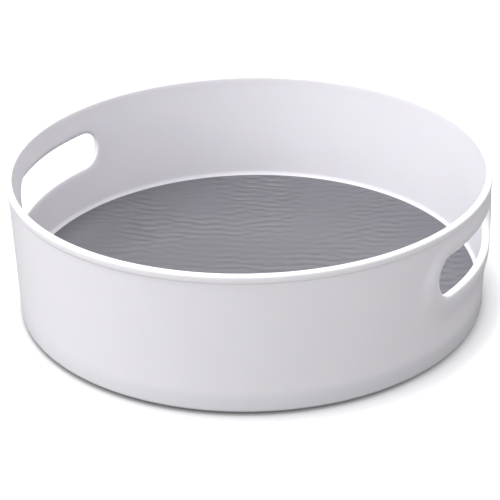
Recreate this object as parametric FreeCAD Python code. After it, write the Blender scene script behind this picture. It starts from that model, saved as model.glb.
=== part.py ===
import FreeCAD, Part
import math
import os

# Lazy susan turntable: a round tub with a lipped rim and two handle slots, lined with a ribbed
# non-slip mat, turning on a ring of steel balls above a footed base.
# Millimetres, +Z up. The origin is on the table, under the turning axis.

# ---- overall sizes
rim_radius = 150.0
overall_height = 90.0
tub_lift = 2.0                    # table to the tub's lower edge

# ---- tub wall and rim
rim_overhang = 1.6                # how far the rim lip stands out from the wall
rim_lip_height = 4.7
rim_face_width = 4.0
rim_round = 1.1
lip_taper = 0.3                   # the lip's outer face leans in this much at its lower edge
lip_round = 0.6
under_lip_round = 0.5
wall_draft = 1.3                  # the wall leans in by this much from rim to foot
wall_thickness = 2.6
skirt_thickness = 2.6
skirt_round = 1.2
floor_thickness = 2.6
floor_fillet = 2.0
recess_fillet = 1.0
rib_count = 12
rib_thickness = 1.6
rib_height = 2.2

# ---- handle slots, one on each side
slot_bearing = -24.8              # degrees from +X to the middle of the first slot
slot_height = 26.5
slot_arc = 102.0                  # length along the wall, end to end
slot_drop = 30.8                  # rim top to the slot's middle
slot_lip_stand = 1.8              # how far the swollen edge stands out from the wall at mid height
slot_lip_tilt = 1.5               # degrees: the swollen edge leans out at its lower side
slot_edge_round = 3.2
slot_swell_slope = 15.0           # degrees: how fast the swelling falls back to the wall

# ---- non-slip mat
mat_thickness = 2.0
mat_clearance = 0.15              # the mat's edge to the start of the floor's fillet
mat_edge_round = 0.5

# ---- ball bearing
ball_radius = 3.0
ball_count = 18
track_radius = 88.0
race_clearance = 0.1
race_depth = 1.28
race_half_width = 6.0
race_ring_height = 3.3
cage_thickness = 2.2
cage_half_width = 5.4
pocket_clearance = 0.12

# ---- base
base_radius = 108.0
base_thickness = 2.6
base_rim_width = 2.4
base_rim_height = 2.6
base_relief_depth = 1.0
base_relief_outer = 78.0
base_edge_round = 0.6

# ---- feet
foot_count = 6
foot_radius = 7.0
foot_stand = 2.0                  # rubber that shows below the base
foot_socket_depth = 1.0
foot_edge_inset = 9.6             # base edge to the foot's centre
foot_round = 0.6

# ---- centre pivot
post_radius = 8.0
bush_clearance = 0.05
bush_wall = 2.0
bush_flange_overhang = 3.0
bush_flange_thickness = 1.2
bush_flange_round = 0.3
hub_wall = 4.0
hub_clearance = 0.8
well_margin = 5.0
well_wall = 2.0
washer_radius = 12.4
washer_thickness = 1.0
washer_clearance = 0.15
washer_hole_clearance = 0.3
screw_radius = 2.0
screw_depth = 7.0
screw_hole_spare = 0.5
screw_head_radius = 4.8
screw_head_height = 1.9
screw_head_round = 1.14
screw_tip_round = 0.5
screw_recess_length = 5.0
screw_recess_width = 1.1
screw_recess_depth = 1.1
screw_head_gap = 0.3              # screw head to the mat above it

# ---- how far shapes run past each other while they are cut or joined
overcut = 1.0                     # a cutting shape past the face that it opens
sink = 0.5                        # a joined shape into its neighbour
ring_root = 4 * wall_thickness    # the slot edge's section starts this deep inside its face
swell_root = 2 * wall_thickness   # the swelling is carried this far below its face
window_reach = 6 * wall_thickness

# ---- heights that follow from the sizes above
base_top = foot_stand + base_thickness
ball_height = base_top - race_depth + race_clearance + ball_radius
race_face = 2 * ball_height - base_top
floor_under = race_face + race_ring_height
floor_top = floor_under + floor_thickness
mat_top = floor_top + mat_thickness
washer_top = floor_top - screw_head_gap - screw_head_height
post_top = washer_top - washer_thickness
bush_top = post_top - washer_clearance
hub_top = bush_top - bush_flange_thickness
hub_bottom = base_top + hub_clearance
slot_middle = overall_height - slot_drop

# ---- radii that follow
wall_top_radius = rim_radius - rim_overhang
wall_foot_radius = wall_top_radius - wall_draft
lip_bottom = overall_height - rim_lip_height
bush_bore = post_radius + bush_clearance
bush_radius = bush_bore + bush_wall
bush_flange_radius = bush_radius + bush_flange_overhang
hub_radius = bush_radius + hub_wall
well_radius = bush_flange_radius + well_margin
foot_circle = base_radius - foot_edge_inset
race_groove_radius = ball_radius + race_clearance


def wall_radius(z):
    """Outer radius of the drafted wall at height z."""
    share = (z - tub_lift) / (lip_bottom - tub_lift)
    return wall_foot_radius + wall_draft * share


inner_foot_radius = wall_radius(floor_top) - wall_thickness
mat_radius = inner_foot_radius - floor_fillet - mat_clearance


def axial(r, z):
    return FreeCAD.Vector(r, 0, z)


def rounded_profile(corners):
    """Face in the XZ plane from corners (r, z, rounding); a rounding of 0 is a sharp corner."""
    edges = []
    starts = []
    ends = []
    middles = []
    for i, (r, z, rounding) in enumerate(corners):
        here = axial(r, z)
        if rounding == 0:
            starts.append(here)
            ends.append(here)
            middles.append(None)
            continue
        before = axial(*corners[i - 1][:2]) - here
        after = axial(*corners[(i + 1) % len(corners)][:2]) - here
        before.normalize()
        after.normalize()
        half = before.getAngle(after) / 2
        reach = rounding / math.tan(half)
        inward = before + after
        inward.normalize()
        centre = here + inward * (rounding / math.sin(half))
        starts.append(here + before * reach)
        ends.append(here + after * reach)
        middles.append(centre - inward * rounding)
    for i, middle in enumerate(middles):
        if middle is not None:
            edges.append(Part.Arc(starts[i], middle, ends[i]).toShape())
        following = starts[(i + 1) % len(corners)]
        if (following - ends[i]).Length > 1e-6:
            edges.append(Part.LineSegment(ends[i], following).toShape())
    return Part.Face(Part.Wire(edges))


def turned(corners):
    """Solid of revolution about Z of a rounded profile."""
    return rounded_profile(corners).revolve(FreeCAD.Vector(), FreeCAD.Vector(0, 0, 1), 360)


def disc(radius, low, high, hole=0.0):
    solid = Part.makeCylinder(radius, high - low, FreeCAD.Vector(0, 0, low))
    if hole:
        solid = solid.cut(Part.makeCylinder(hole, high - low, FreeCAD.Vector(0, 0, low)))
    return solid


def polar(radius, degrees, z):
    angle = math.radians(degrees)
    return FreeCAD.Vector(radius * math.cos(angle), radius * math.sin(angle), z)


def turn_about_z(shape, degrees):
    turned_copy = shape.copy()
    turned_copy.rotate(FreeCAD.Vector(), FreeCAD.Vector(0, 0, 1), degrees)
    return turned_copy


def race_groove():
    """The round channel that the balls roll in, cut from both races."""
    return Part.makeTorus(track_radius, race_groove_radius, FreeCAD.Vector(0, 0, ball_height))


def slot_local(forward, across):
    """Point in the XZ plane from the slot's own axis: forward along it, across upwards from it."""
    tilt = math.radians(slot_lip_tilt)
    face = wall_radius(slot_middle) + slot_lip_stand
    r = face + forward * math.cos(tilt) - across * math.sin(tilt)
    z = slot_middle + forward * math.sin(tilt) + across * math.cos(tilt)
    return axial(r, z)


def slot_ring_section(side):
    """Cross-section of the swollen slot edge on its upper (side 1) or lower (side -1) run."""
    half = slot_height / 2
    slope = math.radians(slot_swell_slope)
    edge_end_across = half + slot_edge_round * (1 + math.sin(slope))
    edge_end_forward = -slot_edge_round * (1 - math.cos(slope))
    run = (edge_end_forward + swell_root) / math.tan(slope)
    inner = slot_local(-ring_root, side * half)
    edge_start = slot_local(-slot_edge_round, side * half)
    chord = (90 + slot_swell_slope) / 2
    edge_middle = slot_local(
        slot_edge_round * (math.sin(math.radians(chord)) - 1),
        side * (half + slot_edge_round * (1 - math.cos(math.radians(chord)))))
    edge_end = slot_local(edge_end_forward, side * edge_end_across)
    swell_end = slot_local(-swell_root, side * (edge_end_across + run))
    back = slot_local(-ring_root, side * (edge_end_across + run))
    return Part.Face(Part.Wire([
        Part.LineSegment(inner, edge_start).toShape(),
        Part.Arc(edge_start, edge_middle, edge_end).toShape(),
        Part.LineSegment(edge_end, swell_end).toShape(),
        Part.LineSegment(swell_end, back).toShape(),
        Part.LineSegment(back, inner).toShape()]))


def slot_half_angle():
    """Degrees from the slot's middle to the centre of each round end."""
    return math.degrees((slot_arc - slot_height) / 2 / wall_radius(slot_middle))


def slot_ring():
    """The swollen edge round one slot: two runs about Z and two half rings about the slot's axis."""
    up = FreeCAD.Vector(0, 0, 1)
    origin = slot_local(0, 0)
    outward = slot_local(1, 0) - origin
    half_angle = slot_half_angle()
    upper = slot_ring_section(1)
    lower = slot_ring_section(-1)
    ring = None
    for section in (upper, lower):
        run = section.revolve(FreeCAD.Vector(), up, 2 * half_angle)
        run = turn_about_z(run, -half_angle)
        ring = run if ring is None else ring.fuse(run)
    right_end = turn_about_z(upper.revolve(origin, outward, 180), -half_angle)
    left_end = turn_about_z(upper.revolve(origin, outward, -180), half_angle)
    ring = ring.fuse([right_end, left_end])
    return ring.common(disc(rim_radius + window_reach, floor_top, overall_height - rim_lip_height / 2))


def slot_window():
    """The hole that the swollen edge fills, cut through the plain wall first."""
    half = slot_height / 2 + slot_edge_round
    outward = slot_local(1, 0) - slot_local(0, 0)
    half_angle = slot_half_angle()
    low = slot_local(-window_reach, -half)
    high = slot_local(-window_reach, half)
    low_out = slot_local(window_reach, -half)
    high_out = slot_local(window_reach, half)
    section = Part.Face(Part.makePolygon([low, low_out, high_out, high, low]))
    window = section.revolve(FreeCAD.Vector(), FreeCAD.Vector(0, 0, 1), 2 * half_angle)
    window = turn_about_z(window, -half_angle)
    for side in (-1, 1):
        end = Part.makeCylinder(half, 2 * window_reach, slot_local(-window_reach, 0), outward)
        window = window.fuse(turn_about_z(end, side * half_angle))
    return window


def tub_cavity():
    """Everything inside the wall, above the floor."""
    above = overall_height + overcut
    inner_top = rim_radius - rim_face_width
    inner_under_lip = wall_radius(lip_bottom) - wall_thickness
    return turned([
        (0, floor_top, 0),
        (inner_foot_radius, floor_top, floor_fillet),
        (inner_under_lip, lip_bottom, 0),
        (inner_top, overall_height - rim_round / 2, 0),
        (inner_top + rim_round, overall_height + rim_round / 2, 0),
        (inner_top + rim_round, above, 0),
        (0, above, 0)])


def tub_blank():
    """The tub's outside as a full solid: skirt, drafted wall and rim lip."""
    return turned([
        (0, tub_lift, 0),
        (wall_foot_radius, tub_lift, skirt_round),
        (wall_top_radius, lip_bottom, under_lip_round),
        (rim_radius - lip_taper, lip_bottom, lip_round),
        (rim_radius, overall_height, rim_round),
        (0, overall_height, 0)])


def under_recess():
    """The open space under the floor that holds the bearing and the base."""
    radius = wall_foot_radius - skirt_thickness
    return turned([
        (0, tub_lift - overcut, 0),
        (radius, tub_lift - overcut, 0),
        (radius, floor_under, recess_fillet),
        (0, floor_under, 0)])


def under_floor_ribs():
    """Upper race ring, centre well and the stiffening ribs between them."""
    ring = disc(track_radius + race_half_width, race_face, floor_under + sink,
                track_radius - race_half_width)
    parts = [ring]
    for start, end in ((well_radius, track_radius - race_half_width),
                       (track_radius + race_half_width, wall_foot_radius - skirt_thickness)):
        length = end - start + 2 * sink
        corner = FreeCAD.Vector(start - sink, -rib_thickness / 2, floor_under - rib_height)
        for i in range(rib_count):
            rib = Part.makeBox(length, rib_thickness, rib_height + sink, corner)
            parts.append(turn_about_z(rib, (i + 0.5) * 360 / rib_count))
    parts.append(disc(well_radius + well_wall, hub_top - well_wall, floor_under + sink))
    parts.append(disc(hub_radius, hub_bottom, hub_top))
    return parts


def make_tub():
    tub = tub_blank()
    rings = []
    for side in (0, 180):
        tub = tub.cut(turn_about_z(slot_window(), slot_bearing + side))
        rings.append(turn_about_z(slot_ring(), slot_bearing + side))
    tub = tub.fuse(rings)
    tub = tub.cut(tub_cavity()).cut(under_recess())
    tub = tub.fuse(under_floor_ribs())
    tub = tub.cut(disc(well_radius, hub_top, floor_top + overcut))
    tub = tub.cut(disc(bush_radius, hub_bottom - overcut, hub_top + overcut))
    return tub.cut(race_groove()).removeSplitter()


def make_mat():
    return turned([
        (0, floor_top, 0),
        (mat_radius, floor_top, 0),
        (mat_radius, mat_top, mat_edge_round),
        (0, mat_top, 0)])


def make_base():
    """Footed base: a disc with the lower race, a turned-up rim, foot sockets and the pivot post."""
    base = turned([
        (0, foot_stand, 0),
        (base_radius, foot_stand, base_edge_round),
        (base_radius, base_top + base_rim_height, base_edge_round),
        (base_radius - base_rim_width, base_top + base_rim_height, base_edge_round),
        (base_radius - base_rim_width, base_top, base_edge_round),
        (0, base_top, 0)])
    base = base.fuse(disc(post_radius, base_top - sink, post_top))
    relief_low = foot_stand - overcut
    relief_high = foot_stand + base_relief_depth
    relief = disc(base_relief_outer, relief_low, relief_high, hub_radius)
    spokes = []
    for i in range(rib_count):
        spoke = Part.makeBox(base_relief_outer, rib_thickness, relief_high - relief_low,
                             FreeCAD.Vector(0, -rib_thickness / 2, relief_low))
        spokes.append(turn_about_z(spoke, i * 360 / rib_count))
    base = base.cut(relief.cut(spokes))
    for i in range(foot_count):
        centre = polar(foot_circle, i * 360 / foot_count, foot_stand - overcut)
        base = base.cut(Part.makeCylinder(foot_radius, overcut + foot_socket_depth, centre))
    hole_depth = screw_depth + screw_hole_spare
    base = base.cut(disc(screw_radius, post_top - hole_depth, post_top + overcut))
    return base.cut(race_groove()).removeSplitter()


def make_foot(number):
    foot = turned([
        (0, 0, 0),
        (foot_radius, 0, foot_round),
        (foot_radius, foot_stand + foot_socket_depth, 0),
        (0, foot_stand + foot_socket_depth, 0)])
    foot.translate(polar(foot_circle, number * 360 / foot_count, 0))
    return foot


def ball_centre(number):
    return polar(track_radius, (number + 0.5) * 360 / ball_count, ball_height)


def make_ball(number):
    return Part.makeSphere(ball_radius, ball_centre(number))


def make_cage():
    """Flat ring that keeps the balls evenly spaced, with a round pocket for each."""
    low = ball_height - cage_thickness / 2
    cage = disc(track_radius + cage_half_width, low, low + cage_thickness,
                track_radius - cage_half_width)
    for i in range(ball_count):
        cage = cage.cut(Part.makeSphere(ball_radius + pocket_clearance, ball_centre(i)))
    return cage


def make_bush():
    """Flanged sleeve pressed into the tub's hub; it runs on the base's post."""
    return turned([
        (bush_bore, hub_bottom, 0),
        (bush_radius, hub_bottom, 0),
        (bush_radius, hub_top, 0),
        (bush_flange_radius, hub_top, 0),
        (bush_flange_radius, bush_top, bush_flange_round),
        (bush_bore, bush_top, 0)])


def make_washer():
    return disc(washer_radius, post_top, washer_top, screw_radius + washer_hole_clearance)


def make_screw():
    """Low-headed screw with a cross recess, driven down into the post."""
    head_top = washer_top + screw_head_height
    screw = turned([
        (0, post_top - screw_depth, 0),
        (screw_radius, post_top - screw_depth, screw_tip_round),
        (screw_radius, washer_top, 0),
        (screw_head_radius, washer_top, 0),
        (screw_head_radius, head_top, screw_head_round),
        (0, head_top, 0)])
    for degrees in (0, 90):
        recess = Part.makeBox(screw_recess_length, screw_recess_width, screw_recess_depth + overcut,
                              FreeCAD.Vector(-screw_recess_length / 2, -screw_recess_width / 2,
                                             head_top - screw_recess_depth))
        screw = screw.cut(turn_about_z(recess, degrees))
    return screw


def save(name, shape):
    shape.exportStep(os.path.join("parts", name + ".step"))
    print(name, "solids", len(shape.Solids), "valid", shape.isValid(), "volume", round(shape.Volume, 1))


os.makedirs("parts", exist_ok=True)
save("tub", make_tub())
save("non_slip_mat", make_mat())
save("base_plate", make_base())
save("ball_cage", make_cage())
save("pivot_bush", make_bush())
save("retaining_washer", make_washer())
save("pivot_screw", make_screw())
for number in range(foot_count):
    save("rubber_foot_%02d" % (number + 1), make_foot(number))
for number in range(ball_count):
    save("bearing_ball_%02d" % (number + 1), make_ball(number))
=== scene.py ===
import math

import bpy
import numpy as np
from mathutils import Matrix, Vector


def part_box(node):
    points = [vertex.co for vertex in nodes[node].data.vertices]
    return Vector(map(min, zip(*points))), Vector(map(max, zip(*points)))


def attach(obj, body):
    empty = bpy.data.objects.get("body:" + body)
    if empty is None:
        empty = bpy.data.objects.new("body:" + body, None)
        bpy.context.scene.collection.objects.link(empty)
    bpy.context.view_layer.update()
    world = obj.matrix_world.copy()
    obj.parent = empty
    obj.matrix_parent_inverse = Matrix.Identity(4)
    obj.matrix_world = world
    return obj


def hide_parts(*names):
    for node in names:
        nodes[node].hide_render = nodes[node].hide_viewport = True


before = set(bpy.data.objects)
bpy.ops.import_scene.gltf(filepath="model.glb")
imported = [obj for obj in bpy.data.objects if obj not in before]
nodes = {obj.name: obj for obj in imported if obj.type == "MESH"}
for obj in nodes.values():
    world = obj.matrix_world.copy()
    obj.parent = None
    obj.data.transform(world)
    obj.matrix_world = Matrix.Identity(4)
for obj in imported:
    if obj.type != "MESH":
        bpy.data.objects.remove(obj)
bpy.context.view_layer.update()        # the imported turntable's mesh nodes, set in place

mm = 0.001

# The turntable's own sizes, read from the frame.
tubLow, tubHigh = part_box("tub")
matLow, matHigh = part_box("non_slip_mat")
bushLow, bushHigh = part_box("pivot_bush")
ballLow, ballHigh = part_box("bearing_ball_01")
ballCentre = (ballLow + ballHigh) / 2
ballRadius = (ballHigh.z - ballLow.z) / 2
trackRadius = math.hypot(ballCentre.x, ballCentre.y)


def hexToLinear(hexText):
    # Each sRGB channel c turns linear: c / 12.92 when dark, else ((c + 0.055) / 1.055) ^ 2.4.
    channels = [int(hexText[i:i + 2], 16) / 255 for i in (1, 3, 5)]
    return tuple(c / 12.92 if c <= 0.04045 else ((c + 0.055) / 1.055) ** 2.4 for c in channels) + (1.0,)


def addNode(tree, kind, settings=None, links=None):
    # settings fill sockets or the node's own options; links maps a socket to (node, output).
    node = tree.nodes.new(kind)
    for key, value in (settings or {}).items():
        if isinstance(key, str) and key not in node.inputs:
            setattr(node, key, value)
        else:
            node.inputs[key].default_value = value
    for socket, (source, output) in (links or {}).items():
        tree.links.new(source.outputs[output], node.inputs[socket])
    return node


def startMaterial(name):
    material = bpy.data.materials.new(name)
    material.use_nodes = True
    material.node_tree.nodes.clear()
    return material, material.node_tree


def putMesh(name, points, faces, material):
    # One smooth-shaded mesh object at the origin; points nothing uses are dropped.
    used = np.zeros(len(points), bool)
    for group in faces:
        used[group.ravel()] = True
    renumber = np.cumsum(used) - 1
    rows = []
    for group in faces:
        rows += renumber[group].tolist()
    mesh = bpy.data.meshes.new(name)
    mesh.from_pydata(points[used].tolist(), [], rows)
    mesh.polygons.foreach_set("use_smooth", np.ones(len(rows), bool))
    mesh.update()
    mesh.materials.append(material)
    piece = bpy.data.objects.new(name, mesh)
    bpy.context.scene.collection.objects.link(piece)
    print("made", name, "with", len(rows), "faces")
    return piece


def stripFaces(first, second):
    # Quads between two closed loops of point numbers of the same length.
    return np.stack([first, np.roll(first, -1), np.roll(second, -1), second], axis=1)


def smoothFade(t):
    # 1 at t = 0 falling to 0 at t = 1 along 1 - t^3 (10 - 15 t + 6 t^2), level at both ends.
    t = np.clip(t, 0.0, 1.0)
    return 1.0 - t ** 3 * (10.0 - 15.0 * t + 6.0 * t * t)


def roundedOutline(corners, arcSteps, support):
    # Closed outline through corners (r, z, rounding): a rounding is a tangent arc of arcSteps + 1
    # points, with a point at the support distance before and after it that keeps flats flat.
    # Also gives the number of each corner's first point.
    points = []
    firstPoint = []
    count = len(corners)
    for i, (r, z, rounding) in enumerate(corners):
        firstPoint.append(len(points))
        here = np.array([r, z])
        if rounding == 0:
            points.append(here)
            continue
        before = np.array(corners[i - 1][:2]) - here
        after = np.array(corners[(i + 1) % count][:2]) - here
        before = before / np.linalg.norm(before)
        after = after / np.linalg.norm(after)
        half = math.acos(np.clip(before @ after, -1, 1)) / 2
        reach = rounding / math.tan(half)
        inward = (before + after) / np.linalg.norm(before + after)
        centre = here + inward * rounding / math.sin(half)
        start = here + before * reach - centre
        turn = math.pi - 2 * half
        side = 1 if before[0] * after[1] - before[1] * after[0] < 0 else -1
        points.append(here + before * (reach + support))
        for step in range(arcSteps + 1):
            angle = side * turn * step / arcSteps
            c, s = math.cos(angle), math.sin(angle)
            points.append(centre + np.array([c * start[0] - s * start[1], s * start[0] + c * start[1]]))
        points.append(here + after * (reach + support))
    return np.array(points), firstPoint


def whitePolypropylene():
    # Polypropylene, injection moulded in a polished tool: opaque white that still lets a little
    # light through its skin, with a satin gloss and the faintest orange-peel ripple.
    material, tree = startMaterial("satinWhitePolypropylene")
    place = addNode(tree, "ShaderNodeTexCoord")
    cloud = addNode(tree, "ShaderNodeTexNoise", {"Scale": 18.0, "Detail": 3.0, "Roughness": 0.5},
                    {"Vector": (place, "Object")})        # melt flow marks about 50 mm across
    tint = addNode(tree, "ShaderNodeMix", {"data_type": "RGBA", 6: hexToLinear(tubLook["pale"]),
                                           7: hexToLinear(tubLook["deep"])}, {0: (cloud, "Fac")})
    peel = addNode(tree, "ShaderNodeTexNoise", {"Scale": 650.0, "Detail": 2.0, "Roughness": 0.55},
                   {"Vector": (place, "Object")})         # 1.5 mm orange peel
    relief = addNode(tree, "ShaderNodeBump", {"Strength": 0.035, "Distance": 0.0004},
                     {"Height": (peel, "Fac")})
    gloss = addNode(tree, "ShaderNodeMapRange", {
        "To Min": tubLook["roughness"] - tubLook["glossSwing"],
        "To Max": tubLook["roughness"] + tubLook["glossSwing"]}, {"Value": (cloud, "Fac")})
    shader = addNode(tree, "ShaderNodeBsdfPrincipled", {
        "IOR": 1.49, "Subsurface Weight": tubLook["translucence"], "Subsurface Scale": 0.005,
        "Subsurface Radius": (1.0, 0.9, 0.8)}, {
        "Base Color": (tint, 2), "Roughness": (gloss, "Result"), "Normal": (relief, "Normal")})
    addNode(tree, "ShaderNodeOutputMaterial", {}, {"Surface": (shader, "BSDF")})
    return material


def greyElastomer():
    # Thermoplastic elastomer, moulded with a semi-matt skin: neutral grey with a broad soft sheen, with
    # painted shade in the grooves and a painted highlight on the ridge tops, which also stands for wear
    # where jars rub them.
    material, tree = startMaterial("mattGreyElastomer")
    place = addNode(tree, "ShaderNodeTexCoord")
    grain = addNode(tree, "ShaderNodeTexNoise", {"Scale": 900.0, "Detail": 4.0, "Roughness": 0.6},
                    {"Vector": (place, "Object")})        # 1.1 mm grain, coarser than the real 0.1 mm
    cloud = addNode(tree, "ShaderNodeTexNoise", {"Scale": 14.0, "Detail": 2.0},
                    {"Vector": (place, "Object")})        # 70 mm shading of the moulding
    tint = addNode(tree, "ShaderNodeMix", {"data_type": "RGBA", 6: hexToLinear(matLook["deep"]),
                                           7: hexToLinear(matLook["pale"])}, {0: (cloud, "Fac")})
    ridge = addNode(tree, "ShaderNodeAttribute", {"attribute_name": "ridge"})    # 0 groove, 1 ridge top
    # painted shade and highlight: the ridge tops are lifted paler than the grooves by their height,
    # partly standing for wear
    paintedRidgeShading = addNode(tree, "ShaderNodeMix", {"data_type": "RGBA", "blend_type": "ADD",
                                           7: hexToLinear(matLook["ridgeHighlightAndWear"])},
                   {0: (ridge, "Fac"), 6: (tint, 2)})
    relief = addNode(tree, "ShaderNodeBump", {"Strength": 0.25, "Distance": 0.0002},
                     {"Height": (grain, "Fac")})
    shader = addNode(tree, "ShaderNodeBsdfPrincipled", {
        "IOR": 1.55, "Roughness": matLook["roughness"]}, {
        "Base Color": (paintedRidgeShading, 2), "Normal": (relief, "Normal")})
    addNode(tree, "ShaderNodeOutputMaterial", {}, {"Surface": (shader, "BSDF")})
    return material


def texturedStyrene():
    # High-impact polystyrene, moulded in a spark-eroded tool: flat white with an even fine grain.
    material, tree = startMaterial("sparkTexturedStyrene")
    place = addNode(tree, "ShaderNodeTexCoord")
    grain = addNode(tree, "ShaderNodeTexVoronoi", {"Scale": 1400.0, "feature": "SMOOTH_F1"},
                    {"Vector": (place, "Object")})        # 0.7 mm pits, coarser than the real 0.2 mm
    cloud = addNode(tree, "ShaderNodeTexNoise", {"Scale": 25.0, "Detail": 3.0},
                    {"Vector": (place, "Object")})        # 40 mm shading of the moulding
    tint = addNode(tree, "ShaderNodeMix", {"data_type": "RGBA", 6: hexToLinear("#e9e9e6"),
                                           7: hexToLinear("#dddddb")}, {0: (cloud, "Fac")})
    relief = addNode(tree, "ShaderNodeBump", {"Strength": 0.2, "Distance": 0.0002},
                     {"Height": (grain, "Distance")})
    shader = addNode(tree, "ShaderNodeBsdfPrincipled", {"IOR": 1.59, "Roughness": 0.55}, {
        "Base Color": (tint, 2), "Normal": (relief, "Normal")})
    addNode(tree, "ShaderNodeOutputMaterial", {}, {"Surface": (shader, "BSDF")})
    return material


def naturalAcetal():
    # Acetal, undyed, moulded smooth: milky ivory, slippery, a soft sheen.
    material, tree = startMaterial("naturalAcetal")
    place = addNode(tree, "ShaderNodeTexCoord")
    cloud = addNode(tree, "ShaderNodeTexNoise", {"Scale": 60.0, "Detail": 3.0},
                    {"Vector": (place, "Object")})        # 17 mm milky clouds
    tint = addNode(tree, "ShaderNodeMix", {"data_type": "RGBA", 6: hexToLinear("#ece8dc"),
                                           7: hexToLinear("#ddd8c9")}, {0: (cloud, "Fac")})
    fine = addNode(tree, "ShaderNodeTexNoise", {"Scale": 1200.0, "Detail": 2.0},
                   {"Vector": (place, "Object")})         # 0.8 mm skin, coarser than the real one
    relief = addNode(tree, "ShaderNodeBump", {"Strength": 0.08, "Distance": 0.0001},
                     {"Height": (fine, "Fac")})
    shader = addNode(tree, "ShaderNodeBsdfPrincipled", {
        "IOR": 1.48, "Roughness": 0.3, "Subsurface Weight": 0.25, "Subsurface Scale": 0.003}, {
        "Base Color": (tint, 2), "Normal": (relief, "Normal")})
    addNode(tree, "ShaderNodeOutputMaterial", {}, {"Surface": (shader, "BSDF")})
    return material


def zincPlatedSteel():
    # Mild steel, turned and bright zinc plated: cool silver with a faint patchy passivation film
    # and concentric tool marks.
    material, tree = startMaterial("zincPlatedSteel")
    place = addNode(tree, "ShaderNodeTexCoord")
    patch = addNode(tree, "ShaderNodeTexNoise", {"Scale": 220.0, "Detail": 4.0},
                    {"Vector": (place, "Object")})        # 4.5 mm plating spangle
    tint = addNode(tree, "ShaderNodeMix", {"data_type": "RGBA", 6: hexToLinear("#c9ccd2"),
                                           7: hexToLinear("#b9bcb6")}, {0: (patch, "Fac")})
    rings = addNode(tree, "ShaderNodeTexWave", {"wave_type": "RINGS", "rings_direction": "Z",
                                                "Scale": 900.0, "Distortion": 0.6},
                    {"Vector": (place, "Object")})        # turning marks every 0.35 mm
    relief = addNode(tree, "ShaderNodeBump", {"Strength": 0.12, "Distance": 0.00005},
                     {"Height": (rings, "Fac")})
    gloss = addNode(tree, "ShaderNodeMapRange", {"To Min": 0.22, "To Max": 0.38},
                    {"Value": (patch, "Fac")})
    shader = addNode(tree, "ShaderNodeBsdfPrincipled", {"Metallic": 1.0}, {
        "Base Color": (tint, 2), "Roughness": (gloss, "Result"), "Normal": (relief, "Normal")})
    addNode(tree, "ShaderNodeOutputMaterial", {}, {"Surface": (shader, "BSDF")})
    return material


def groundBearingSteel():
    # Chrome bearing steel, ground and lapped: a near mirror with hair-fine scuffs.
    material, tree = startMaterial("lappedBearingSteel")
    place = addNode(tree, "ShaderNodeTexCoord")
    scuff = addNode(tree, "ShaderNodeTexNoise", {"Scale": 700.0, "Detail": 6.0, "Distortion": 1.5},
                    {"Vector": (place, "Object")})        # 1.4 mm scuffs, coarser than the real ones
    gloss = addNode(tree, "ShaderNodeMapRange", {"From Min": 0.4, "From Max": 0.75, "To Min": 0.05,
                                                 "To Max": 0.16}, {"Value": (scuff, "Fac")})
    tint = addNode(tree, "ShaderNodeMix", {"data_type": "RGBA", 6: hexToLinear("#d9dbde"),
                                           7: hexToLinear("#cfd0d2")}, {0: (scuff, "Fac")})
    shader = addNode(tree, "ShaderNodeBsdfPrincipled", {"Metallic": 1.0}, {
        "Base Color": (tint, 2), "Roughness": (gloss, "Result")})
    addNode(tree, "ShaderNodeOutputMaterial", {}, {"Surface": (shader, "BSDF")})
    return material


def softGreyRubber():
    # Rubber, compression moulded: mid grey, dusty matt, slightly mottled.
    material, tree = startMaterial("mouldedGreyRubber")
    place = addNode(tree, "ShaderNodeTexCoord")
    mottle = addNode(tree, "ShaderNodeTexNoise", {"Scale": 160.0, "Detail": 4.0},
                     {"Vector": (place, "Object")})       # 6 mm mottle
    tint = addNode(tree, "ShaderNodeMix", {"data_type": "RGBA", 6: hexToLinear("#8b8a8c"),
                                           7: hexToLinear("#7c7b7e")}, {0: (mottle, "Fac")})
    grain = addNode(tree, "ShaderNodeTexNoise", {"Scale": 1500.0, "Detail": 3.0},
                    {"Vector": (place, "Object")})        # 0.7 mm grain
    relief = addNode(tree, "ShaderNodeBump", {"Strength": 0.3, "Distance": 0.00015},
                     {"Height": (grain, "Fac")})
    shader = addNode(tree, "ShaderNodeBsdfPrincipled", {"IOR": 1.52, "Roughness": 0.78}, {
        "Base Color": (tint, 2), "Normal": (relief, "Normal")})
    addNode(tree, "ShaderNodeOutputMaterial", {}, {"Surface": (shader, "BSDF")})
    return material


tubLook = {"pale": "#f5f2f7", "deep": "#f0edf3", "roughness": 0.34, "glossSwing": 0.03,
           "translucence": 0.6}
# the wear colour is a painted highlight added on the ridge tops, leaving painted shade in the grooves,
# and partly wear
matLook = {"pale": "#5e5d63", "deep": "#58575d", "ridgeHighlightAndWear": "#424244", "roughness": 0.42}
polypropylene = whitePolypropylene()
elastomer = greyElastomer()
styrene = texturedStyrene()
acetal = naturalAcetal()
zincSteel = zincPlatedSteel()
bearingSteel = groundBearingSteel()
footRubber = softGreyRubber()
print("materials ready")


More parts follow.
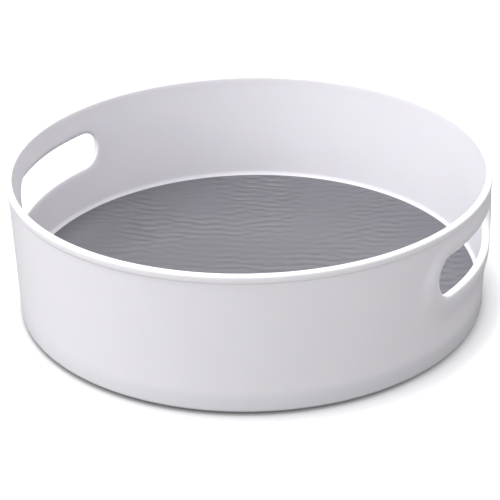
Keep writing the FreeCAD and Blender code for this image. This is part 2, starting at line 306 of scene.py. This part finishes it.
# The tub is one turned shell with two swollen handle slots.
tubShape = {
    "columns": 400,                        # round the tub
    "arcSteps": 5,                         # of each rounding in the section
    "support": 0.1 * mm,                   # extra point before and after each rounding
    "overhang": 1.3 * mm,                  # rim lip beyond the wall
    "lipHeight": 4.4 * mm,
    "lipTaper": 0.3 * mm,
    "lipSlope": 0.8 * mm,                  # the lip's underside runs down to the wall
    "rimFace": 4.3 * mm,
    "rimRound": 1.0 * mm,
    "rimInnerRound": 0.8 * mm,
    "lipRound": 0.5 * mm,
    "underLipRound": 0.9 * mm,
    "draft": 1.3 * mm,                     # the wall leans in from rim to foot
    "wall": 2.8 * mm,
    "skirtRound": 1.7 * mm,
    "skirtInnerRound": 0.4 * mm,
    "floorFillet": 4.0 * mm,
    "floor": 2.6 * mm,
    "recessFillet": 1.0 * mm,
    "edgeRound": 0.3 * mm,                 # small edges out of sight
    "wellRadius": 18.05 * mm,
    "wellWall": 2.0 * mm,
    "hubWall": 4.0 * mm,
    "flangeThickness": 1.2 * mm,
    "raceHalfWidth": 6.0 * mm,
    "grooveSpare": 0.1 * mm,
    "bushFlange": 3.0 * mm,
    "windowColumns": 30,                   # each side of a slot's middle
    "windowRows": 29,
    "windowLow": 22.0 * mm,
    "windowHigh": 84.1 * mm,
    "innerCorner": 19.0 * mm,              # height of the last plain point above the floor fillet
    "lowStart": 5.0 * mm,                  # first plain point above the tub's lower edge
    "lowEnd": 4.0 * mm,                    # last plain point below the windows
    "lowPoints": 4,
    "groovePoints": 9,                     # across the ball race
    "girthDepth": 0.4 * mm,                # lengths along the wall are measured this far inside it
}
slotShape = {
    "bearings": (-24.8, 155.2),            # degrees from +X to each slot's middle
    "drop": 30.8 * mm,                     # rim top to the slot's middle
    "height": 26.5 * mm,
    "length": 102.0 * mm,
    "faceRadius": 149.7 * mm,              # ridge of the swollen edge at mid height
    "faceTilt": 0.0262,                    # the ridge stands further out lower down
    "roundMean": 3.1 * mm,
    "roundSwing": 1.9 * mm,                # rounder above the slot, tighter below it
    "roundDepth": 0.54,                    # share of the rounding's width
    "hoodDrop": 1.6 * mm,                  # the outer edge hangs lower than the inner one above it
    "fadeMean": 13.4 * mm,
    "fadeSwing": 7.0 * mm,                 # the swelling runs out further below the slot
    "innerRound": 0.8 * mm,
    "outerSteps": 3,                       # from the window's edge to the foot of the swelling
    "fadeSteps": 10,
    "roundSteps": 9,
    "innerSteps": 5,
    "innerShares": (0.12, 0.35, 0.65),     # of the way back to the window's edge, inside
}
rimRadius = tubHigh.y
rimTop = tubHigh.z
lipBottom = rimTop - tubShape["lipHeight"]
wallTopRadius = rimRadius - tubShape["overhang"]
girth = wallTopRadius - tubShape["girthDepth"]


def wallRadius(z):
    # Straight draft: wallTopRadius at the lip, smaller by the draft at the tub's lower edge.
    return wallTopRadius - tubShape["draft"] * (lipBottom - z) / (lipBottom - tubLow.z)


def tubCorners():
    # The turned section, up the outside, over the rim, down the inside and back under the floor.
    s = tubShape
    windowZ = np.linspace(s["windowLow"], s["windowHigh"], s["windowRows"])
    floorTop = matLow.z
    floorUnder = floorTop - s["floor"]
    footRadius = wallRadius(tubLow.z)
    innerFoot = wallRadius(floorTop) - s["wall"]
    bushRadius = bushHigh.x - s["bushFlange"]
    hubTop = bushHigh.z - s["flangeThickness"]
    hubRadius = bushRadius + s["hubWall"]
    raceFace = 2 * ballCentre.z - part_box("base_plate")[0].z - s["floor"]
    grooveRadius = ballRadius + s["grooveSpare"]
    small = s["edgeRound"]
    corners = [(footRadius, tubLow.z, s["skirtRound"])]
    lowZ = np.linspace(tubLow.z + s["lowStart"], s["windowLow"] - s["lowEnd"], s["lowPoints"])
    corners += [(wallRadius(z), z, 0) for z in lowZ]
    outerStart = len(corners)
    corners += [(wallRadius(z), z, 0) for z in windowZ]
    corners += [
        (wallTopRadius, lipBottom - s["lipSlope"], s["underLipRound"]),
        (rimRadius - s["lipTaper"], lipBottom, s["lipRound"]),
        (rimRadius, rimTop, s["rimRound"]),
        (rimRadius - s["rimFace"], rimTop, s["rimInnerRound"])]
    innerStart = len(corners)
    corners += [(wallRadius(z) - s["wall"], z, 0) for z in windowZ[::-1]]
    corners += [
        (wallRadius(s["innerCorner"]) - s["wall"], s["innerCorner"], 0),
        (innerFoot, floorTop, s["floorFillet"]),
        (trackRadius, floorTop, 0),
        (s["wellRadius"], floorTop, small),
        (s["wellRadius"], hubTop, small),
        (bushRadius, hubTop, 0),
        (bushRadius, bushLow.z, small),
        (hubRadius, bushLow.z, small),
        (hubRadius, hubTop - s["wellWall"], small),
        (s["wellRadius"] + s["wellWall"], hubTop - s["wellWall"], small),
        (s["wellRadius"] + s["wellWall"], floorUnder, small),
        (trackRadius - s["raceHalfWidth"], floorUnder, small),
        (trackRadius - s["raceHalfWidth"], raceFace, small)]
    half = math.acos((raceFace - ballCentre.z) / grooveRadius)
    corners += [(trackRadius + grooveRadius * math.sin(a), ballCentre.z + grooveRadius * math.cos(a), 0)
                for a in np.linspace(-half, half, s["groovePoints"])]
    corners += [
        (trackRadius + s["raceHalfWidth"], raceFace, small),
        (trackRadius + s["raceHalfWidth"], floorUnder, small),
        (footRadius - s["wall"], floorUnder, s["recessFillet"]),
        (footRadius - s["wall"], tubLow.z, s["skirtInnerRound"])]
    return corners, outerStart, innerStart


def onWall(bearing, u, radius, z):
    # u is the length along the wall from the slot's middle, turned into an angle by the girth.
    angle = math.radians(bearing) + u / girth
    return np.stack([radius * np.cos(angle), radius * np.sin(angle), z], axis=-1)


def slotLayers(bearing, u, v):
    # Rings of points from the window's edge (u, v) in to the slot and back out along the inner wall.
    # The slot is a line of half length L blown up to radius b; each ring keeps its distance d from
    # that outline. Outside: wall radius, rising by smoothFade to the ridge at d = e, then a quarter
    # ellipse, e wide and roundDepth * e deep, down into the slot. Above the slot these outer rings
    # hang lower by hoodDrop. Inside: a small quarter round and the plain wall.
    s = slotShape
    middle = rimTop - s["drop"]
    b = s["height"] / 2
    lineHalf = s["length"] / 2 - b
    footU = np.clip(u, -lineHalf, lineHalf)
    reach = np.hypot(u - footU, v)
    dirU = (u - footU) / reach
    dirV = v / reach
    span = reach - b
    e = s["roundMean"] + s["roundSwing"] * dirV
    fade = s["fadeMean"] - s["fadeSwing"] * dirV
    pastEnd = np.abs(footU + dirU * (b + e)) - lineHalf
    ridge = s["faceRadius"] - s["faceTilt"] * dirV * (b + e)
    ridge = ridge + np.where(pastEnd > 0, pastEnd, 0) ** 2 / (2 * girth)
    hood = s["hoodDrop"] * np.maximum(dirV, 0)

    def ring(d, radius=None, lowered=0):
        ringU = footU + dirU * (b + d)
        z = middle + dirV * (b + d) - hood * lowered
        if radius is None:
            radius = wallRadius(z)
        return onWall(bearing, ringU, radius, z)

    layers = []
    for t in np.linspace(0, 1, s["outerSteps"] + 1)[1:-1]:
        layers.append(ring(span + (e + fade - span) * t))
    for t in np.linspace(1, 0, s["fadeSteps"] + 1)[:-1]:
        d = e + fade * t
        wallHere = wallRadius(middle + dirV * (b + d))
        layers.append(ring(d, wallHere + (ridge - wallHere) * smoothFade(t), smoothFade(t)))
    for turn in np.linspace(math.pi / 2, 0, s["roundSteps"]):
        layers.append(ring(e * (1 - math.cos(turn)),
                           ridge - s["roundDepth"] * e * (1 - math.sin(turn)), 1))
    innerAtEdge = wallRadius(middle + dirV * b) - tubShape["wall"]
    for turn in np.linspace(0, math.pi / 2, s["innerSteps"]):
        layers.append(ring(s["innerRound"] * (1 - math.cos(turn)),
                           innerAtEdge + s["innerRound"] * (1 - math.sin(turn))))
    for share in s["innerShares"]:
        d = s["innerRound"] + (span - s["innerRound"]) * share
        layers.append(ring(d, wallRadius(middle + dirV * (b + d)) - tubShape["wall"]))
    return layers


def makeTub():
    # The section turned about Z on a grid of columns, with each slot's window of the grid taken out
    # on both faces of the wall and bridged by the slot's rings.
    s = tubShape
    columns = s["columns"]
    half = s["windowColumns"]
    rows = s["windowRows"]
    corners, outerCorner, innerCorner = tubCorners()
    outline, firstPoint = roundedOutline(corners, s["arcSteps"], s["support"])
    outerRow = firstPoint[outerCorner]
    innerRow = firstPoint[innerCorner]
    angles = math.radians(slotShape["bearings"][0]) + 2 * math.pi * np.arange(columns) / columns
    r = outline[:, 0][:, None]
    z = np.broadcast_to(outline[:, 1][:, None], (len(outline), columns))
    grid = np.stack([r * np.cos(angles), r * np.sin(angles), z], axis=-1)
    number = np.arange(len(outline) * columns).reshape(len(outline), columns)
    keep = np.ones(number.shape, bool)
    for start in (0, columns // 2):
        across = np.arange(start - half, start + half) % columns
        keep[outerRow:outerRow + rows - 1, across] = False
        keep[innerRow:innerRow + rows - 1, across] = False
    nextRow = np.roll(number, -1, axis=0)
    quads = np.stack([number, np.roll(number, -1, axis=1), np.roll(nextRow, -1, axis=1), nextRow],
                     axis=-1)
    faces = [quads[keep]]
    points = [grid.reshape(-1, 3)]
    total = len(points[0])
    windowZ = np.linspace(s["windowLow"], s["windowHigh"], rows)
    rowStep = np.concatenate([np.zeros(2 * half, int), np.arange(rows - 1),
                              np.full(2 * half, rows - 1), np.arange(rows - 1, 0, -1)])
    columnStep = np.concatenate([np.arange(-half, half), np.full(rows - 1, half),
                                 np.arange(half, -half, -1), np.full(rows - 1, -half)])
    u = girth * 2 * math.pi * columnStep / columns
    v = windowZ[rowStep] - (rimTop - slotShape["drop"])
    for start, bearing in zip((0, columns // 2), slotShape["bearings"]):
        around = (start + columnStep) % columns
        loop = number[outerRow + rowStep, around]
        for layer in slotLayers(bearing, u, v):
            following = total + np.arange(len(layer))
            faces.append(stripFaces(loop, following))
            points.append(layer)
            total += len(layer)
            loop = following
        faces.append(stripFaces(loop, number[innerRow + rows - 1 - rowStep, around]))
    return putMesh("tub_shell", np.concatenate(points), faces, polypropylene)


tubShell = makeTub()
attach(tubShell, "tub")
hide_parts("tub")


# Stiffening ribs under the tub's floor.
ribShape = {
    "count": 12,
    "thickness": 1.6 * mm,
    "height": 2.2 * mm,
    "draft": 0.15 * mm,                    # each side leans in towards the free edge
    "edgeRound": 0.35 * mm,
    "arcSteps": 3,
    "lengthPoints": 4,
    "sink": 0.4 * mm,                      # how far the ribs run into the walls they brace
}


def makeRibs():
    # One rounded, drafted U section carried straight out along each rib's bearing, ends closed.
    s = ribShape
    floorUnder = matLow.z - tubShape["floor"]
    top = floorUnder + s["sink"]
    low = floorUnder - s["height"]
    foot = s["thickness"] / 2 - s["draft"]
    arc = np.linspace(0, math.pi / 2, s["arcSteps"] + 1)
    right = np.stack([foot - s["edgeRound"] * (1 - np.sin(arc)),
                      low + s["edgeRound"] * (1 - np.cos(arc))], axis=1)
    section = np.concatenate([[[-s["thickness"] / 2, top]], right[::-1] * [-1, 1], right,
                              [[s["thickness"] / 2, top]]])
    spans = [(tubShape["wellRadius"] + tubShape["wellWall"] - s["sink"],
              trackRadius - tubShape["raceHalfWidth"] + s["sink"]),
             (trackRadius + tubShape["raceHalfWidth"] - s["sink"],
              wallRadius(tubLow.z) - tubShape["wall"] + s["sink"])]
    count = len(section)
    stops = s["lengthPoints"]
    points = []
    faces = []
    total = 0
    for start, end in spans:
        along = np.linspace(start, end, stops)
        block = np.stack([np.repeat(along, count), np.tile(section[:, 0], stops),
                          np.tile(section[:, 1], stops)], axis=1)
        for i in range(s["count"]):
            turn = 2 * math.pi * (i + 0.5) / s["count"]
            c, n = math.cos(turn), math.sin(turn)
            points.append(block @ np.array([[c, n, 0], [-n, c, 0], [0, 0, 1]]))
            loops = total + np.arange(stops * count).reshape(stops, count)
            for near, far in zip(loops[:-1], loops[1:]):
                faces.append(stripFaces(near, far))
            faces.append(loops[0][None, ::-1])
            faces.append(loops[-1][None, :])
            total += stops * count
    return putMesh("floor_ribs", np.concatenate(points), faces, polypropylene)


ribs = makeRibs()
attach(ribs, "tub")


# The ribbed mat lies loose on the tub's floor.
matShape = {
    "rows": 560,                           # across the ridges
    "columns": 116,                        # along them
    "edgeRound": 0.5 * mm,
    "edgeSteps": 4,
    "undercut": 2.1 * mm,                  # the lower edge is cut back to clear the tub's fillet
    "undercutHeight": 0.62 * mm,
    "underside": 0.01 * mm,                # lift off the tub's floor
    "ridgeSpacing": 7.2 * mm,
    "spacingSpread": 0.15,                 # share of the spacing
    "crestSpread": 15.0,                   # degrees that crests wander from the X direction
    "crestTilt": 17.0,                     # degrees: crests slant down to the right on the left half
    "tiltReach": 45.0 * mm,                # how gently that slant dies out across the middle
    "ridgeHeight": 1.0 * mm,
    "ridgeSink": 0.3,                      # share of that height by which the flat lies below the top
    "waves": 44,
    "steepness": 1.1,                      # how squarely the ridges rise from the flat
    "ridgeShare": 0.6,                     # the rest of the height goes to the deepest grooves
    "grooveStart": 0.6,                    # depth of wave at which those begin
    "grooveRange": 0.9,
    "patchWaves": 10,
    "patchSize": 75.0 * mm,
    "patchLeast": 0.7,                     # shares of the patch size: the least, and the spread above it
    "patchSpread": 0.7,
    "patchFaint": 0.3,                     # share of the ridges left on the smoothest patches
    "patchBias": 0.3,                      # above 0, more of the mat is ridged than smooth
    "patchContrast": 3.0,
    "plainEdge": 5.0 * mm,                 # ridges die out towards the rim of the mat
    "seed": 11,
}


def ridgeField(x, y):
    # wave: the sum of cosines of plane waves whose crests lie near the X direction, over the root of
    # half their number, on y bent down to the left; their beats make ridges that wander and fork.
    # slow: the same sum of long waves, turned by a logistic curve into patch, from patchFaint to 1.
    # Height: (ridgeShare tanh(steepness wave) - (1 - ridgeShare) groove) patch, where groove rises
    # from 0 to 1 as the wave sinks through grooveRange below grooveStart.
    s = matShape
    draw = np.random.default_rng(s["seed"])
    slant = math.tan(math.radians(s["crestTilt"]))
    y = y + slant * s["tiltReach"] * -np.logaddexp(0, -x / s["tiltReach"])
    total = np.zeros(x.shape)
    for i in range(s["waves"]):
        spacing = s["ridgeSpacing"] * (1 + s["spacingSpread"] * draw.standard_normal())
        crest = math.radians(s["crestSpread"]) * draw.standard_normal()
        phase = 2 * math.pi * draw.random()
        total += np.cos(2 * math.pi / spacing * (y * math.cos(crest) + x * math.sin(crest)) + phase)
    slow = np.zeros(x.shape)
    for i in range(s["patchWaves"]):
        size = s["patchSize"] * (s["patchLeast"] + s["patchSpread"] * draw.random())
        heading = math.pi * draw.random()
        phase = 2 * math.pi * draw.random()
        slow += np.cos(2 * math.pi / size * (x * math.cos(heading) + y * math.sin(heading)) + phase)
    wave = total / math.sqrt(s["waves"] / 2)
    slow = slow / math.sqrt(s["patchWaves"] / 2) + s["patchBias"]
    patch = s["patchFaint"] + (1 - s["patchFaint"]) / (1 + np.exp(-slow * s["patchContrast"]))
    groove = np.clip((-wave - s["grooveStart"]) / s["grooveRange"], 0, 1)
    return (s["ridgeShare"] * np.tanh(wave * s["steepness"]) - (1 - s["ridgeShare"]) * groove) * patch


def makeMat():
    # A disc of straight rows, each row reaching from rim to rim, lifted by the ridge field. A
    # rounded edge, a short wall, a slanted undercut and a flat underside close it.
    s = matShape
    radius = matHigh.x
    inner = radius - s["edgeRound"]
    rows, columns = s["rows"], s["columns"]
    lean = -math.pi / 2 + math.pi * (np.arange(rows) + 0.5) / rows
    y = np.repeat((inner * np.sin(lean))[:, None], columns, axis=1)
    x = inner * np.cos(lean)[:, None] * np.linspace(-1, 1, columns)[None, :]
    ridge = ridgeField(x, y) * (1 - smoothFade((inner - np.hypot(x, y)) / s["plainEdge"]))
    z = matHigh.z - s["ridgeSink"] * s["ridgeHeight"] + s["ridgeHeight"] * ridge / 2
    grid = np.stack([x, y, z], axis=-1)
    number = np.arange(rows * columns).reshape(rows, columns)
    quads = np.stack([number[:-1, :-1], number[:-1, 1:], number[1:, 1:], number[1:, :-1]], axis=-1)
    faces = [quads.reshape(-1, 4)]
    points = [grid.reshape(-1, 3)]
    total = rows * columns
    loop = np.concatenate([number[0, :-1], number[:-1, -1], number[-1, :0:-1], number[:0:-1, 0]])
    rim = points[0][loop]
    angle = np.arctan2(rim[:, 1], rim[:, 0])
    for turn in np.linspace(0, math.pi / 2, s["edgeSteps"] + 1)[1:]:
        r = inner + s["edgeRound"] * math.sin(turn)
        z = rim[:, 2] - s["edgeRound"] * (1 - math.cos(turn))
        ring = np.stack([r * np.cos(angle), r * np.sin(angle), z], axis=1)
        points.append(ring)
        following = total + np.arange(len(loop))
        faces.append(stripFaces(loop, following)[:, ::-1])
        total += len(loop)
        loop = following
    underside = matLow.z + s["underside"]
    for r, level in ((radius, matLow.z + s["undercutHeight"]), (radius - s["undercut"], underside),
                     (radius / 2, underside)):
        ring = np.stack([r * np.cos(angle), r * np.sin(angle), np.full(len(angle), level)], axis=1)
        points.append(ring)
        following = total + np.arange(len(loop))
        faces.append(stripFaces(loop, following)[:, ::-1])
        total += len(loop)
        loop = following
    points.append(np.array([[0, 0, underside]]))
    centre = np.full(len(loop), total)
    faces.append(np.stack([np.roll(loop, -1), loop, centre], axis=1))
    piece = putMesh("ribbed_mat", np.concatenate(points), faces, elastomer)
    # ridge height from 0 to 1, which the mat's material turns into painted groove shade and a painted
    # ridge highlight
    tops = np.zeros(len(piece.data.vertices))
    tops[:rows * columns] = (1 + ridge.ravel()) / 2
    piece.data.attributes.new("ridge", "FLOAT", "POINT").data.foreach_set("value", tops)
    return piece


ribbedMat = makeMat()
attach(ribbedMat, "tub")
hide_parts("non_slip_mat")


# The mechanism keeps its shapes from the frame, and only its finishes are set here.
finishes = {
    "base_plate": styrene,
    "ball_cage": acetal,
    "pivot_bush": acetal,
    "retaining_washer": zincSteel,
    "pivot_screw": zincSteel,
    "rubber_foot": footRubber,
    "bearing_ball": bearingSteel,
}
for name, node in nodes.items():
    for start, material in finishes.items():
        if name.startswith(start):
            node.data.materials.clear()
            node.data.materials.append(material)
print("finishes set on the carried-over pieces")


# Studio: floor, light and camera.
studio = {
    "floorHalf": 4.0,
    "floorPoints": 9,                      # along each side
    "floorGap": 0.02 * mm,                 # below the feet
    "floorNear": 1.42,                     # brightness to the camera, past white to clear the shade
    "floorFar": 2.2,
    "nearEnd": 0.5,                        # metres from the turntable's middle
    "farStart": 3.0,
    "floorBounce": "#a8a8a8",
    "worldColour": "#f7f8fa",
    "worldLight": 0.6,
    "worldSeen": 1.08,                     # strength of the backdrop behind the floor
    "lamps": [
        # name, place, size, power in watts, whether it also lights the floor
        ("overhead", (-0.12, 0.0, 2.0), 0.7, 16.0, True),
        ("top", (0.0, 0.2, 1.8), 1.2, 5.4, False),
        ("key", (-1.1, -0.1, 1.4), 0.8, 13.5, False),
        ("fill", (-1.2, -1.2, 0.7), 0.8, 8.2, False),
        ("front", (0.0, -1.7, 0.7), 0.8, 1.8, False),
        ("side", (1.2, -1.2, 0.7), 0.8, 1.5, False),
        ("back", (0.0, 1.2, 1.4), 0.8, 3.8, False),
    ],
    "aim": (0.0, 0.0, 0.045),
}
camera = {
    "place": (0.0, -0.84957, 0.46952),
    "aim": (-0.00036, -0.03230, 0.045),
    "roll": -1.167,                        # degrees
    "lens": 108.0,                         # mm
}


def makeFloor():
    # A flat square just under the feet. The camera sees it past white, more so further out, and
    # the turntable gets the weaker bounce of a grey board, as from a sweep that is lit by itself.
    half = studio["floorHalf"]
    material, tree = startMaterial("mattPaintedBoard")
    place = addNode(tree, "ShaderNodeTexCoord")
    away = addNode(tree, "ShaderNodeVectorMath", {"operation": "LENGTH"}, {0: (place, "Object")})
    seen = addNode(tree, "ShaderNodeMapRange", {
        "From Min": studio["nearEnd"], "From Max": studio["farStart"], "To Min": studio["floorNear"],
        "To Max": studio["floorFar"]}, {"Value": (away, "Value")})
    bounce = addNode(tree, "ShaderNodeBsdfDiffuse", {"Color": hexToLinear(studio["floorBounce"])})
    board = addNode(tree, "ShaderNodeBsdfDiffuse", {}, {"Color": (seen, "Result")})
    ray = addNode(tree, "ShaderNodeLightPath")
    shader = addNode(tree, "ShaderNodeMixShader", {}, {0: (ray, "Is Camera Ray"), 1: (bounce, "BSDF"),
                                                       2: (board, "BSDF")})
    addNode(tree, "ShaderNodeOutputMaterial", {}, {"Surface": (shader, "Shader")})
    across = np.linspace(-half, half, studio["floorPoints"])
    x, y = np.meshgrid(across, across)
    points = np.stack([x.ravel(), y.ravel(), np.full(x.size, -studio["floorGap"])], axis=1)
    number = np.arange(x.size).reshape(x.shape)
    quads = np.stack([number[:-1, :-1], number[:-1, 1:], number[1:, 1:], number[1:, :-1]], axis=-1)
    return putMesh("floor", points, [quads.reshape(-1, 4)], material)


def makeLamp(name, place, size, power, onFloor, leftDark):
    # A round soft box aimed at the turntable; all but the overhead one leave the floor dark, so
    # that only this one throws a shadow there.
    data = bpy.data.lights.new(name, "AREA")
    data.shape = "DISK"
    data.size = size
    data.energy = power
    lamp = bpy.data.objects.new(name, data)
    lamp.location = place
    lamp.rotation_euler = (Vector(studio["aim"]) - Vector(place)).to_track_quat("-Z", "Y").to_euler()
    if not onFloor:
        lamp.light_linking.receiver_collection = leftDark
    bpy.context.scene.collection.objects.link(lamp)


def makeWorld():
    # White wherever the camera looks past the floor, and a weaker light from all round.
    world = bpy.data.worlds.new("studio")
    world.use_nodes = True
    tree = world.node_tree
    tree.nodes.clear()
    colour = hexToLinear(studio["worldColour"])
    ray = addNode(tree, "ShaderNodeLightPath")
    glow = addNode(tree, "ShaderNodeBackground", {"Color": colour, "Strength": studio["worldLight"]})
    white = addNode(tree, "ShaderNodeBackground", {"Color": colour, "Strength": studio["worldSeen"]})
    sky = addNode(tree, "ShaderNodeMixShader", {}, {0: (ray, "Is Camera Ray"), 1: (glow, "Background"),
                                                    2: (white, "Background")})
    addNode(tree, "ShaderNodeOutputWorld", {}, {"Surface": (sky, "Shader")})
    bpy.context.scene.world = world


def makeCamera():
    # Looks from place to aim, then rolls about its own line of sight.
    data = bpy.data.cameras.new("camera")
    data.lens = camera["lens"]
    place = Vector(camera["place"])
    turn = (Vector(camera["aim"]) - place).to_track_quat("-Z", "Y").to_matrix()
    turn = turn @ Matrix.Rotation(math.radians(camera["roll"]), 3, "Z")
    eye = bpy.data.objects.new("camera", data)
    eye.matrix_world = Matrix.Translation(place) @ turn.to_4x4()
    bpy.context.scene.collection.objects.link(eye)
    bpy.context.scene.camera = eye


floor = makeFloor()
keptDark = bpy.data.collections.new("keptDark")    # what most lamps leave out
keptDark.objects.link(floor)
keptDark.collection_objects[0].light_linking.link_state = "EXCLUDE"
for lamp in studio["lamps"]:
    makeLamp(*lamp, keptDark)
makeWorld()
makeCamera()
bpy.context.scene.view_settings.view_transform = "Standard"
print("studio ready")
